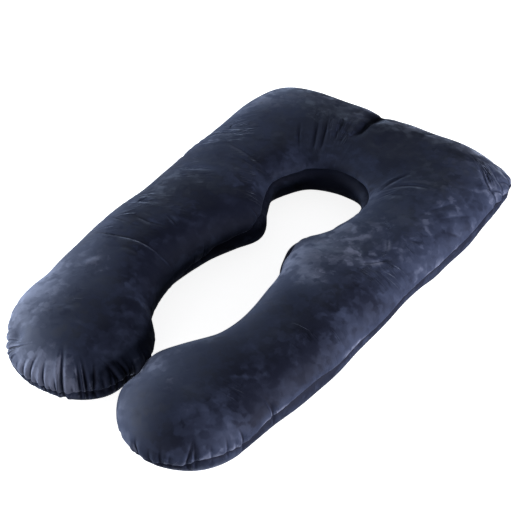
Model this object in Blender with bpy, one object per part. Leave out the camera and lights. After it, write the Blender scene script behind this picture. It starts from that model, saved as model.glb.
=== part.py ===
"""A U-shaped body pillow, stuffed with fibre and lying on its back on a flat surface.

Two panels of plush are joined by one seam that runs all the way round: along the
outer sides and the square head, round both feet, and back along the waved inner
edges to the round neck. The pillow is one filled solid. X runs across it, Y along
it from the feet to the head, Z up. Sizes are in metres, and the origin is on the
floor under the middle of the pillow.
"""

import math
from collections import namedtuple

import bmesh
import bpy
from mathutils import Matrix, Vector

# ---------------------------------------------------------------- driving sizes
SEAM_HEIGHT = 0.084       # the seam above the floor, all the way round
SEAM_DRAW = 0.005         # how far the seam is drawn into the filling
SIDE_ROUNDNESS = 2.45     # 2 is an ellipse, more is a fuller side
CROWN_ROUNDNESS = 2.10    # the same for the rise of the upper panel
FLOOR_PRESS = 0.003       # how much lower the lower panel would hang without the floor

HEAD_START = 0.280        # Y where the legs pass into the head
HEAD_CROWN = 0.157        # height of the crown round the head
HEAD_HALF_WIDTH = {"left": 0.409, "right": 0.404}
HEAD_DEPTH = {"left": 0.431, "right": 0.436}       # to the head's edge, from HEAD_START
CORNER_SQUARENESS = {"left": 6.0, "right": 7.0}
HEAD_WIDENS_BY = 30.0     # degrees round the neck by which the head has its full width
NECK_DEPTH = 0.118                                 # to the neck's arc, from HEAD_START
NECK_SQUARENESS = {"left": 1.7, "right": 2.3}

NOTCH_X = -0.045          # the pinch in the middle of the head's edge
NOTCH_DEPTH = 0.012
NOTCH_WIDTH = 0.032
NOTCH_REACH = 0.150       # how far in from the edge the pinch is felt

FOOT_TIP = {"left": 0.150, "right": 0.157}         # from the foot's centre to its tip
FOOT_ROUNDNESS = {                                 # on its outer and on its inner side
    "left": (1.84, 2.20),
    "right": (1.90, 2.30),
}

# ------------------------------------------------------- sections along each leg
# Distances of the inner and the outer seam from the middle line, and the crown.
Section = namedtuple("Section", "y inner outer crown")
LEGS = {
    "left": (
        Section(-0.490, 0.008, 0.355, 0.164),
        Section(-0.420, 0.005, 0.379, 0.167),
        Section(-0.360, 0.031, 0.377, 0.169),
        Section(-0.300, 0.087, 0.382, 0.170),
        Section(-0.170, 0.131, 0.397, 0.172),
        Section(-0.020, 0.115, 0.393, 0.172),
        Section(0.070, 0.080, 0.397, 0.168),
        Section(0.130, 0.055, 0.399, 0.164),
        Section(0.200, 0.092, 0.401, 0.160),
        Section(HEAD_START, 0.121, 0.403, HEAD_CROWN),
    ),
    "right": (
        Section(-0.507, 0.030, 0.350, 0.165),
        Section(-0.410, 0.034, 0.361, 0.168),
        Section(-0.300, 0.106, 0.377, 0.171),
        Section(-0.170, 0.120, 0.387, 0.172),
        Section(-0.020, 0.092, 0.387, 0.172),
        Section(0.050, 0.068, 0.387, 0.163),
        Section(0.120, 0.060, 0.386, 0.153),
        Section(0.200, 0.096, 0.391, 0.153),
        Section(HEAD_START, 0.123, 0.402, HEAD_CROWN),
    ),
}
SIDE_SIGN = {"left": -1.0, "right": 1.0}

# ---------------------------------------- the head's corners, drawn out at the seam
Ear = namedtuple("Ear", "x y reach push")
CORNER_EARS = (
    Ear(0.385, 0.668, 0.060, 0.017),
    Ear(-0.375, 0.655, 0.060, 0.006),
)
EAR_THICKNESS = 0.026

# ------------------------------------------------------ gathers round both feet
# Degrees round the foot, from its outer side past the tip to its inner side, the
# reach of the fold from the seam over the upper panel, and its depth.
Gather = namedtuple("Gather", "turn reach depth")
GATHERS = {
    "left": (
        Gather(21, 0.050, 0.006),
        Gather(39, 0.060, 0.006),
        Gather(57, 0.060, 0.006),
        Gather(75, 0.075, 0.008),
        Gather(90, 0.080, 0.009),
        Gather(105, 0.095, 0.010),
        Gather(120, 0.130, 0.012),
        Gather(135, 0.080, 0.008),
        Gather(150, 0.120, 0.010),
        Gather(165, 0.060, 0.006),
    ),
    "right": (
        Gather(6, 0.060, 0.009),
        Gather(27, 0.045, 0.005),
        Gather(51, 0.065, 0.007),
        Gather(66, 0.050, 0.005),
        Gather(81, 0.075, 0.007),
        Gather(96, 0.060, 0.009),
        Gather(117, 0.050, 0.005),
        Gather(138, 0.050, 0.004),
    ),
}
GATHER_WIDTH = 0.009
GATHER_ON_LOWER_PANEL = 0.45   # the share of a gather's reach below the seam
GATHER_CLIMB = 0.6             # the share of the rise from the seam that counts in its reach
GATHER_END = 0.030             # no gather goes further up the leg from the foot's centre

# ------------------------------------------------- creases over the upper panel
CreasePoint = namedtuple("CreasePoint", "x y depth")
Crease = namedtuple("Crease", "width route")
CREASE_BELOW_SEAM = 0.020
CREASES = (
    # runs in from the notch of the head
    Crease(0.020, (
        CreasePoint(-0.046, 0.715, 0.004),
        CreasePoint(-0.042, 0.670, 0.018),
        CreasePoint(-0.034, 0.600, 0.017),
        CreasePoint(-0.038, 0.540, 0.008),
        CreasePoint(-0.045, 0.490, 0.000),
    )),
    # an arc across the left leg
    Crease(0.013, (
        CreasePoint(-0.360, -0.232, 0.000),
        CreasePoint(-0.288, -0.192, 0.006),
        CreasePoint(-0.220, -0.178, 0.008),
        CreasePoint(-0.146, -0.188, 0.006),
        CreasePoint(-0.080, -0.218, 0.000),
    )),
    # the pinch on the right leg's outer side, above its foot
    Crease(0.014, (
        CreasePoint(0.385, -0.418, 0.008),
        CreasePoint(0.345, -0.410, 0.008),
        CreasePoint(0.300, -0.385, 0.000),
    )),
)

# -------------------------------------------------------------------- mesh steps
SEAM_LIP_DEGREES = 2.8     # the first step up and down from the seam
QUARTER_STEPS = 9          # points from the seam to the crown
LEG_STEP = 0.033
LEG_EXTRA = {               # more sections at a crease and at the waist
    "left": (-0.226, -0.212, -0.198, -0.184, -0.170, 0.112, 0.130, 0.148),
    "right": (-0.430, -0.418, -0.406, -0.394, 0.100, 0.118, 0.136),
}
HEAD_STEPS = 44
NOTCH_EXTRA_DEGREES = (90.5, 92.5, 94.5, 96.5, 98.5, 101.0)
FOOT_STEPS = 60
SAME_POINT = 0.00001
TOP_ANGLE = math.pi / 2    # where a section's curve reaches its crown, from the seam


def smooth_value(rows, column, y):
    """The column's value at y, on a smooth curve through the rows."""
    last = len(rows) - 1
    i = max(k for k in range(last) if k == 0 or rows[k].y <= y)

    def slope(k):
        if k == last:
            return 0.0
        low, high = rows[max(k - 1, 0)], rows[k + 1]
        return (getattr(high, column) - getattr(low, column)) / (high.y - low.y)

    start, end = getattr(rows[i], column), getattr(rows[i + 1], column)
    span = rows[i + 1].y - rows[i].y
    t = (y - rows[i].y) / span
    return (
        (2 * t**3 - 3 * t**2 + 1) * start
        + (t**3 - 2 * t**2 + t) * span * slope(i)
        + (3 * t**2 - 2 * t**3) * end
        + (t**3 - t**2) * span * slope(i + 1)
    )


def round_reach(across, along, half_width, depth, roundness):
    """How far a rounded rectangle reaches in the direction (across, along)."""
    return ((abs(across) / half_width) ** roundness + (along / depth) ** roundness) ** (-1 / roundness)


def foot_reach(side, way, half_width):
    """How far a foot's seam is from the foot's centre, in the direction way."""
    outer_side, inner_side = FOOT_ROUNDNESS[side]
    roundness = outer_side if way.x * SIDE_SIGN[side] > 0 else inner_side
    return round_reach(way.x, max(0.0, -way.y), half_width, FOOT_TIP[side], roundness)


def half_profile(crown):
    """(share of the half width, height) from the crown, over the seam, to the floor."""
    lip = math.radians(SEAM_LIP_DEGREES)
    angles = stations(lip, TOP_ANGLE, QUARTER_STEPS - 1, ())
    upper, lower = [], []
    for angle in angles:
        share = abs(math.cos(angle)) ** (2 / SIDE_ROUNDNESS) if angle < TOP_ANGLE else 0.0
        rise = math.sin(angle) ** (2 / CROWN_ROUNDNESS)
        drop = math.sin(angle) ** (2 / SIDE_ROUNDNESS)
        upper.append((share, SEAM_HEIGHT + (crown - SEAM_HEIGHT) * rise))
        lower.append((share, max(0.0, SEAM_HEIGHT - (SEAM_HEIGHT + FLOOR_PRESS) * drop)))
    return upper[::-1] + [(1.0, SEAM_HEIGHT)] + lower


def half_section(middle, edge, crown):
    """Points of half a section, from the crown over one seam to the floor."""
    reach = edge - middle
    points = []
    for share, height in half_profile(crown):
        draw = SEAM_DRAW * reach.normalized() if share == 1.0 else Vector((0.0, 0.0))
        points.append(Vector((*(middle + reach * share - draw), height)))
    return points


def stations(start, end, count, extra):
    """Even places from start to end, less those close to an extra place, and the extra ones."""
    step = (end - start) / count
    even = [start + step * k for k in range(count + 1)]
    kept = [place for place in even if all(abs(place - other) > step / 3 for other in extra)]
    return sorted(kept + list(extra))


def leg_sections(side):
    """(inner seam, outer seam, crown) from the foot's centre up to the head."""
    rows, sign = LEGS[side], SIDE_SIGN[side]
    count = round((rows[-1].y - rows[0].y) / LEG_STEP)
    return [
        (
            Vector((sign * smooth_value(rows, "inner", y), y)),
            Vector((sign * smooth_value(rows, "outer", y), y)),
            smooth_value(rows, "crown", y),
        )
        for y in stations(rows[0].y, rows[-1].y, count, LEG_EXTRA[side])
    ]


def head_sections():
    """(inner seam, outer seam, crown), fanned round the neck from the right leg to the left."""
    start = Vector((0.0, HEAD_START))
    sections = []
    for degrees in stations(0.0, 180.0, HEAD_STEPS, NOTCH_EXTRA_DEGREES)[1:-1]:
        across, along = math.cos(math.radians(degrees)), math.sin(math.radians(degrees))
        side = "right" if across > 0 else "left"
        leg = LEGS[side][-1]
        widened = min(1.0, along / math.sin(math.radians(HEAD_WIDENS_BY)))
        half_width = leg.outer + (HEAD_HALF_WIDTH[side] - leg.outer) * widened
        outer = round_reach(across, along, half_width, HEAD_DEPTH[side], CORNER_SQUARENESS[side])
        inner = round_reach(across, along, leg.inner, NECK_DEPTH, NECK_SQUARENESS[side])
        way = Vector((across, along))
        sections.append((start + way * inner, start + way * outer, HEAD_CROWN))
    return sections


def add_ring(mesh, section):
    """The closed loop of one whole section, as edges."""
    inner, outer, crown = section
    middle = (inner + outer) / 2
    points = half_section(middle, outer, crown) + half_section(middle, inner, crown)[-2:0:-1]
    verts = [mesh.verts.new(point) for point in points]
    return [mesh.edges.new((a, b)) for a, b in zip(verts, verts[1:] + verts[:1])]


def add_foot(mesh, side, section):
    """Half a section spun round the foot's centre, then shaped to the foot's outline."""
    inner, outer, crown = section
    middle, half_width = (inner + outer) / 2, (outer - inner).length / 2
    verts = [mesh.verts.new(point) for point in half_section(middle, outer, crown)]
    edges = [mesh.edges.new(pair) for pair in zip(verts, verts[1:])]
    sign = SIDE_SIGN[side]
    bmesh.ops.spin(
        mesh, geom=verts + edges, cent=(*middle, 0.0), axis=(0.0, 0.0, -sign),
        angle=math.pi, steps=FOOT_STEPS,
    )
    for vert in mesh.verts:
        away = vert.co.xy - middle
        on_foot = sign * vert.co.x > 0 and away.y < -SAME_POINT and away.length > SAME_POINT
        if on_foot and not vert.tag:
            way = away.normalized()
            reach = foot_reach(side, way, half_width)
            vert.co.xy = middle + away * (reach / half_width)
            vert.tag = True


def pinch_notch(mesh):
    """Draws the head's edge in at the notch."""
    for vert in mesh.verts:
        edge = HEAD_START + HEAD_DEPTH["left"]
        nearness = min(1.0, max(0.0, 1 - (edge - vert.co.y) / NOTCH_REACH))
        across = (vert.co.x - NOTCH_X) / NOTCH_WIDTH
        vert.co.y -= NOTCH_DEPTH * nearness**2 * math.exp(-(across**2))


def draw_out_corners(mesh):
    """Draws the head's corners out along the seam, which leaves them thinner there."""
    for vert in mesh.verts:
        for ear in CORNER_EARS:
            corner = Vector((ear.x, ear.y))
            near = math.exp(-((vert.co.xy - corner).length / ear.reach) ** 2)
            level = math.exp(-((vert.co.z - SEAM_HEIGHT) / EAR_THICKNESS) ** 2)
            way = Vector((math.copysign(1.0, ear.x), 1.0)).normalized()
            vert.co.xy += way * ear.push * near * level


def crease_depth(point):
    """How deep the creases are at a point: they end just below the seam."""
    below = max(0.0, SEAM_HEIGHT - point.z)
    depth = 0.0
    for crease in CREASES:
        nearest = math.inf
        for start, end in zip(crease.route, crease.route[1:]):
            origin, step = Vector((start.x, start.y)), Vector((end.x - start.x, end.y - start.y))
            t = min(1.0, max(0.0, (point.xy - origin).dot(step) / step.length_squared))
            gap = (point.xy - origin - step * t).length
            if gap < nearest:
                nearest, local = gap, start.depth + (end.depth - start.depth) * t
        depth += local * math.exp(-((nearest / crease.width) ** 2) - (below / CREASE_BELOW_SEAM) ** 2)
    return depth


def gather_depth(side, point):
    """How deep the gathers round a foot are at a point."""
    foot = LEGS[side][0]
    away = point.xy - Vector((SIDE_SIGN[side] * (foot.inner + foot.outer) / 2, foot.y))
    if away.length < SAME_POINT:
        return 0.0
    half_width = (foot.outer - foot.inner) / 2
    turn = math.degrees(math.atan2(-away.y, SIDE_SIGN[side] * away.x))
    way = away.normalized()
    seam = foot_reach(side, way, half_width)
    from_seam = math.hypot(max(0.0, seam - away.length), GATHER_CLIMB * (point.z - SEAM_HEIGHT))
    share = GATHER_ON_LOWER_PANEL if point.z < SEAM_HEIGHT else 1.0
    depth = 0.0
    for gather in GATHERS[side]:
        across = math.radians(turn - gather.turn) * away.length
        fade = max(0.0, 1 - from_seam / (gather.reach * share))
        depth += gather.depth * math.exp(-((across / GATHER_WIDTH) ** 2)) * fade
    return depth


def press_folds(mesh):
    """Presses creases and gathers into the plain form, along each point's own normal."""
    mesh.normal_update()
    depths = {}
    for vert in mesh.verts:
        side = "right" if vert.co.x > 0 else "left"
        on_foot = vert.co.y < LEGS[side][0].y + GATHER_END
        depth = gather_depth(side, vert.co) if on_foot else 0.0
        depths[vert] = depth + crease_depth(vert.co) if vert.co.z > 0.0 else 0.0
    moved = {vert: vert.co - vert.normal * depth for vert, depth in depths.items()}
    for vert, place in moved.items():
        vert.co = (place.x, place.y, max(place.z, 0.0))


def pillow_mesh():
    """The whole pillow as one closed mesh, its middle over the origin."""
    mesh = bmesh.new()
    right, left = leg_sections("right"), leg_sections("left")
    rings = [add_ring(mesh, section) for section in right + head_sections() + left[::-1]]
    for first, second in zip(rings, rings[1:]):
        bmesh.ops.bridge_loops(mesh, edges=first + second)
    for vert in mesh.verts:
        vert.tag = True
    add_foot(mesh, "right", right[0])
    add_foot(mesh, "left", left[0])
    bmesh.ops.remove_doubles(mesh, verts=mesh.verts, dist=SAME_POINT)
    bmesh.ops.recalc_face_normals(mesh, faces=mesh.faces)
    pinch_notch(mesh)
    draw_out_corners(mesh)
    press_folds(mesh)
    middle_x = (min(v.co.x for v in mesh.verts) + max(v.co.x for v in mesh.verts)) / 2
    middle_y = (min(v.co.y for v in mesh.verts) + max(v.co.y for v in mesh.verts)) / 2
    bmesh.ops.transform(
        mesh, matrix=Matrix.Translation((-middle_x, -middle_y, 0.0)), verts=mesh.verts)
    return mesh


def plush_material():
    """Midnight blue plush."""
    material = bpy.data.materials.new("navy_plush")
    material.use_nodes = True
    shader = material.node_tree.nodes["Principled BSDF"]
    shader.inputs["Base Color"].default_value = (0.020, 0.024, 0.045, 1.0)
    shader.inputs["Roughness"].default_value = 0.85
    shader.inputs["Metallic"].default_value = 0.0
    return material


def main():
    for old in list(bpy.data.objects):
        bpy.data.objects.remove(old)
    data = bpy.data.meshes.new("body_pillow")
    mesh = pillow_mesh()
    mesh.to_mesh(data)
    mesh.free()
    data.materials.append(plush_material())
    data.shade_smooth()
    pillow = bpy.data.objects.new("body_pillow", data)
    bpy.context.scene.collection.objects.link(pillow)


main()
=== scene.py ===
"""A U-shaped body pillow of navy plush: its stuffed form, gathers, creases, seam and nap, with
painted light and shade.

Everything is in metres. The pillow is built from sections across its legs and round
its head, and each foot is half a section turned round the foot's centre. Every point
knows its place along the one seam and how far from the seam it is, so that gathers
and puckers run from the stitches over the panels, as they do in sewn cloth.
"""

import math
import random
from collections import namedtuple

import bmesh
import bpy
import numpy as np
from mathutils import Matrix, Vector


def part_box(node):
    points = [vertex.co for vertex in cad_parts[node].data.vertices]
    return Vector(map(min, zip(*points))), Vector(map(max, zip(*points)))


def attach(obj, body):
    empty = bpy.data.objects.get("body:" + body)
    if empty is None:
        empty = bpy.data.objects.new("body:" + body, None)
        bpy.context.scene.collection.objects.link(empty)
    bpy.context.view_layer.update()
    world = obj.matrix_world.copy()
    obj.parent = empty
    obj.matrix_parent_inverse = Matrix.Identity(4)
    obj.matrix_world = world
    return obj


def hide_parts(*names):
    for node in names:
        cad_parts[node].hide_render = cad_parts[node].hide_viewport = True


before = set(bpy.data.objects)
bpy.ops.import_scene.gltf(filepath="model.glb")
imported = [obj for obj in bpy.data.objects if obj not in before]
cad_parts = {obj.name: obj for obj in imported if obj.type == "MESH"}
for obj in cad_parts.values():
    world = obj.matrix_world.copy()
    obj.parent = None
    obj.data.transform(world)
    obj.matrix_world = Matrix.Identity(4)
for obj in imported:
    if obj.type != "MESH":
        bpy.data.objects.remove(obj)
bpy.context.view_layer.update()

NODE = "body_pillow"


def table(kind, *rows):
    """Rows of plain numbers, which get the named columns of their kind."""
    return tuple(kind(*row) for row in rows)


# ---- driving sizes
WIDEST_HEIGHT = 0.084
SIDE_ROUNDNESS = 2.45
CROWN_ROUNDNESS = 2.10
FLOOR_PRESS = 0.003

# The stitches draw the seam in. The upper panel is fuller a little way above them, and
# its edge hangs over them. Where the filling pulls the seam in, the hollow is wide.
SEAM_DRAW = 0.0055
SEAM_WIDTH_ABOVE = 0.0050
SEAM_WIDTH_BELOW = 0.0080
EDGE_FULLNESS = 0.0018
EDGE_PLACE = 0.016
LIP_DROP = 0.0030
LIP_PLACE = 0.0035
LIP_WIDTH = 0.0040
PULL_ABOVE = 0.045
PULL_BELOW = 0.022

# The head begins where the legs end, and its depths are measured from there.
HEAD_HALF_WIDTH = {"left": 0.409, "right": 0.404}
HEAD_DEPTH = {"left": 0.431, "right": 0.436}
CORNER_SQUARENESS = {"left": 6.0, "right": 7.0}
# From this many degrees above the legs' ends, the head has its full width.
HEAD_WIDENS_BY = 30.0
NECK_DEPTH = 0.118
NECK_SQUARENESS = {"left": 1.7, "right": 2.3}

NOTCH_X = -0.045
NOTCH_DEPTH = 0.010
NOTCH_WIDTH = 0.034
NOTCH_REACH = 0.150

FOOT_TIP = {"left": 0.150, "right": 0.157}
FOOT_ROUNDNESS = {"left": (1.84, 2.20), "right": (1.90, 2.30)}

Section = namedtuple("Section", "y inner outer crown")
LEGS = {
    "left": table(
        Section,
        (-0.49, 0.008, 0.355, 0.164),
        (-0.42, 0.005, 0.379, 0.167),
        (-0.36, 0.031, 0.377, 0.169),
        (-0.3, 0.087, 0.382, 0.17),
        (-0.17, 0.131, 0.397, 0.172),
        (-0.02, 0.115, 0.393, 0.172),
        (0.07, 0.08, 0.397, 0.168),
        (0.13, 0.055, 0.399, 0.164),
        (0.2, 0.092, 0.401, 0.16),
        (0.28, 0.121, 0.403, 0.157),
    ),
    "right": table(
        Section,
        (-0.507, 0.03, 0.35, 0.165),
        (-0.41, 0.034, 0.361, 0.168),
        (-0.3, 0.106, 0.377, 0.171),
        (-0.17, 0.12, 0.387, 0.172),
        (-0.02, 0.092, 0.387, 0.172),
        (0.05, 0.068, 0.387, 0.163),
        (0.12, 0.06, 0.386, 0.153),
        (0.2, 0.096, 0.391, 0.153),
        (0.28, 0.123, 0.402, 0.157),
    ),
}
HEAD_START = LEGS["left"][-1].y
HEAD_CROWN = LEGS["left"][-1].crown
SIDE_SIGN = {"left": -1.0, "right": 1.0}

Ear = namedtuple("Ear", "x y reach push")
CORNER_EARS = table(Ear, (0.385, 0.668, 0.06, 0.015), (-0.375, 0.655, 0.06, 0.006))
EAR_THICKNESS = 0.026

# The seam climbs and sinks on its way, and in places the filling pulls it in between
# the two panels. It takes its height and pull from the marks around it, as well as the
# strength of the painted highlight on the upper panel just above it.
SeamMark = namedtuple("SeamMark", "x y height pull tone")
SEAM_MARKS = table(
    SeamMark,
    # up the right outer side and round the head
    (0.35, -0.5, 0.078, 0, 0.3),
    (0.362, -0.42, 0.09, 0, 0.7),
    (0.375, -0.3, 0.094, 0, 0.15),
    (0.387, -0.15, 0.086, 0, 0.5),
    (0.387, 0, 0.08, 0, 0.2),
    (0.388, 0.15, 0.082, 0, 0.2),
    (0.402, 0.3, 0.086, 0, 0.3),
    (0.404, 0.5, 0.09, 0, 0),
    (0.38, 0.69, 0.088, 0, 0),
    (0.15, 0.714, 0.084, 0, 0),
    (-0.15, 0.711, 0.084, 0, 0),
    (-0.38, 0.68, 0.084, 0, 0),
    # down the left outer side and round the left foot
    (-0.403, 0.45, 0.084, 0, 0),
    (-0.4, 0.2, 0.084, 0, 0),
    (-0.393, 0, 0.084, 0, 0),
    (-0.385, -0.25, 0.084, 0, 0),
    (-0.36, -0.45, 0.084, 0, 0),
    (-0.3, -0.59, 0.076, 0, 0.2),
    (-0.2, -0.64, 0.066, 0, 0.25),
    (-0.11, -0.63, 0.064, 0, 0.25),
    (-0.048, -0.593, 0.079, 0, 0.15),
    (-0.012, -0.53, 0.079, 0, 0),
    # up the left inner side, which dips at the knee and climbs at the waist
    (-0.01, -0.42, 0.055, 0, 0),
    (-0.087, -0.3, 0.045, 0, 0),
    (-0.131, -0.16, 0.045, 0, 0),
    (-0.12, -0.055, 0.068, 0, 0),
    (-0.108, 0.01, 0.083, 0.001, 0),
    (-0.078, 0.075, 0.088, 0.004, 0),
    (-0.055, 0.13, 0.117, 0.004, 0),
    (-0.092, 0.2, 0.11, 0.003, 0),
    (-0.118, 0.27, 0.108, 0.002, 0),
    # round the neck
    (-0.1, 0.335, 0.108, 0.002, 0),
    (-0.06, 0.372, 0.115, 0.004, 0),
    (0, 0.398, 0.118, 0.006, 0),
    (0.05, 0.394, 0.118, 0.007, 0),
    (0.11, 0.345, 0.115, 0.005, 0),
    # down the right inner side and round the right foot
    (0.105, 0.24, 0.106, 0.006, 0),
    (0.08, 0.175, 0.102, 0.016, 0),
    (0.062, 0.13, 0.1, 0.017, 0.15),
    (0.066, 0.07, 0.1, 0.016, 0.3),
    (0.085, 0, 0.094, 0.008, 0.2),
    (0.12, -0.15, 0.084, 0, 0),
    (0.104, -0.3, 0.084, 0, 0),
    (0.034, -0.41, 0.072, 0, 0),
    (0.05, -0.59, 0.058, 0, 0),
    (0.11, -0.645, 0.052, 0, 0),
    (0.19, -0.664, 0.06, 0, 0),
    (0.25, -0.648, 0.068, 0, 0),
    (0.31, -0.605, 0.088, 0, 0.25),
    (0.339, -0.56, 0.087, 0, 0.2),
)
SEAM_MARK_REACH = 0.030

# Places where the stuffing stands proud or lies slack.
Swell = namedtuple("Swell", "x y z reach rise")
SWELLS = table(
    Swell,
    # the lower panel stands out under the right waist
    (0.056, 0.12, 0.072, 0.06, 0.021),
    (0.066, 0.04, 0.075, 0.05, 0.009),
    (0.08, 0.188, 0.068, 0.036, 0.013),
    (0.115, 0.145, 0.135, 0.05, -0.004),
    # the left foot
    (-0.341, -0.485, 0.12, 0.04, 0.01),
    (-0.27, -0.585, 0.135, 0.032, -0.009),
    (-0.29, -0.54, 0.142, 0.035, -0.004),
    (-0.285, -0.605, 0.084, 0.03, 0.003),
    (-0.3, -0.565, 0.115, 0.04, -0.005),
    (-0.16, -0.64, 0.07, 0.07, -0.007),
    (-0.037, -0.369, 0.115, 0.04, -0.004),
    (-0.005, -0.45, 0.076, 0.042, 0.012),
    (-0.02, -0.525, 0.066, 0.05, 0.008),
    (-0.37, -0.452, 0.112, 0.03, 0.003),
    (-0.288, -0.583, 0.122, 0.026, -0.013),
    # the right foot and leg
    (0.16, -0.656, 0.06, 0.06, 0.003),
    (0.03, -0.553, 0.1, 0.037, 0.007),
    (0.039, -0.44, 0.11, 0.04, 0.007),
    (0.402, 0.45, 0.07, 0.12, 0.003),
    (0.384, 0.12, 0.06, 0.14, 0.002),
    (0.128, 0.29, 0.11, 0.04, 0.005),
    (0.116, 0.262, 0.1, 0.03, 0.005),
    # the head beside its notch and its right back edge
    (-0.042, 0.64, 0.149, 0.032, -0.008),
    (0.2, 0.67, 0.125, 0.1, 0.003),
    (0, 0.7, 0.12, 0.04, -0.005),
    (0.33, 0.7, 0.1, 0.06, -0.004),
)

# ---- gathers round both feet
# A gather's turn is in degrees round the foot, from its outer side past the tip to its
# inner side. Its lean is how far it slides along the seam for each metre up the panel.
Gather = namedtuple("Gather", "turn reach depth width lean")
GATHERS = {
    "left": table(
        Gather,
        (10, 0.04, 0.003, 0.006, 0.2),
        (22, 0.055, 0.004, 0.007, 0.4),
        (33, 0.07, 0.0045, 0.006, 0.6),
        (44, 0.115, 0.0086, 0.006, 0.6),
        (50, 0.08, 0.0047, 0.006, 0.5),
        (57, 0.06, 0.0047, 0.005, 0.4),
        (68, 0.045, 0.0043, 0.005, 0.2),
        (78, 0.07, 0.0055, 0.005, 0.1),
        (87, 0.095, 0.0078, 0.005, 0.1),
        (95, 0.03, 0.0035, 0.005, 0),
        (103, 0.09, 0.0086, 0.005, 0),
        (110, 0.026, 0.003, 0.004, 0),
        (116, 0.06, 0.0066, 0.005, 0),
        (122, 0.14, 0.0117, 0.006, 0),
        (131, 0.032, 0.0035, 0.005, 0),
        (138, 0.095, 0.0086, 0.005, 0),
        (143, 0.105, 0.0094, 0.005, 0),
        (148, 0.085, 0.0078, 0.005, 0.2),
        (156, 0.04, 0.0045, 0.005, 0),
        (162, 0.055, 0.0047, 0.005, 0.1),
        (168, 0.08, 0.0062, 0.006, -0.2),
        (177, 0.07, 0.0047, 0.006, -0.2),
    ),
    "right": table(
        Gather,
        (3, 0.06, 0.0065, 0.008, 0),
        (12, 0.035, 0.003, 0.006, 0.1),
        (20, 0.05, 0.0045, 0.007, 0.1),
        (34, 0.04, 0.003, 0.006, 0),
        (48, 0.06, 0.0055, 0.006, 0),
        (56, 0.065, 0.0055, 0.006, 0.3),
        (70, 0.045, 0.004, 0.007, 0.1),
        (78, 0.06, 0.0045, 0.008, 0),
        (88, 0.05, 0.0035, 0.007, 0),
        (101, 0.06, 0.0085, 0.008, -0.1),
        (112, 0.035, 0.0035, 0.006, 0),
        (126, 0.045, 0.0045, 0.006, 0),
        (142, 0.035, 0.0025, 0.006, 0),
        (160, 0.04, 0.0025, 0.007, 0),
    ),
}
# Gathers elsewhere on the seam are placed by the nearest point of the seam.
SeamGather = namedtuple("SeamGather", "x y reach depth width lean")
SEAM_GATHERS = table(
    SeamGather,
    (0.36, -0.413, 0.075, 0.009, 0.007, 0),
    (-0.007, -0.474, 0.06, 0.0045, 0.008, 0),
    (-0.005, -0.44, 0.08, 0.005, 0.008, 0.1),
    (-0.01, -0.4, 0.055, 0.0035, 0.007, 0),
    (-0.396, 0.298, 0.06, 0.003, 0.008, 0),
    (-0.398, 0.225, 0.08, 0.0035, 0.009, 0.1),
    (-0.398, 0.33, 0.05, 0.0025, 0.008, 0),
    (-0.396, -0.045, 0.07, 0.003, 0.009, 0),
    (-0.394, -0.138, 0.08, 0.003, 0.009, -0.1),
    (-0.058, 0.126, 0.075, 0.006, 0.012, 0),
    (-0.121, -0.052, 0.055, 0.004, 0.007, 0.3),
    (-0.128, -0.085, 0.045, 0.003, 0.007, 0.2),
    (0.4, 0.6, 0.09, 0.004, 0.01, -0.4),
    (0.395, 0.64, 0.07, 0.004, 0.009, -0.3),
    (0.34, 0.712, 0.06, 0.003, 0.01, 0.2),
)
# Down the lower panel, a gather reaches this share as far as up the upper one.
LOWER_PANEL_SHARE = 0.5
# The valley of a fold lies between two ridges, so many widths away and so high.
RIDGE_PLACE = 1.8
RIDGE_SHARE = 0.30
# A fold ends so many widths away from its bottom.
FOLD_EXTENT = 8
# The line along a gather's bottom, sunk and painted with shade, is as deep as this share of the
# gather.
GATHER_LINE = 1.25
GATHER_LINE_REACH = 0.009
# The stitches hold this share of a gather flat, which wears off with the distance.
SEAM_HOLD = 0.80
STITCH_RISE = 0.008

# ---- small puckers all along the seam
PUCKER_SEED = 11
PUCKER_SPACING = (0.013, 0.034)
PUCKER_REACH = (0.012, 0.042)
PUCKER_DEPTH = (0.0005, 0.0020)
PUCKER_WIDTH = (0.0045, 0.0080)
PUCKER_LEAN = (-0.4, 0.4)

# ---- creases over the upper panel
# A crease falls off over its left width on one side of its route and over its right
# width on the other, and the cloth stands a little proud beyond. The line along its
# bottom, sunk and painted with shade, is so many times as deep as the crease.
Crease = namedtuple("Crease", "left right bulge line route")
CREASE_BELOW_SEAM = 0.020
CREASE_MARGIN = 0.040
CREASE_LINE_REACH = 0.010
ROUTE_CUTS = 2
CORNER_CUT = 0.25


def new_crease(left, right, bulge, line, *route):
    """A crease, whose route is given by the (x, y, depth) of its points."""
    return Crease(left, right, bulge, line, np.array(route))


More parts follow.
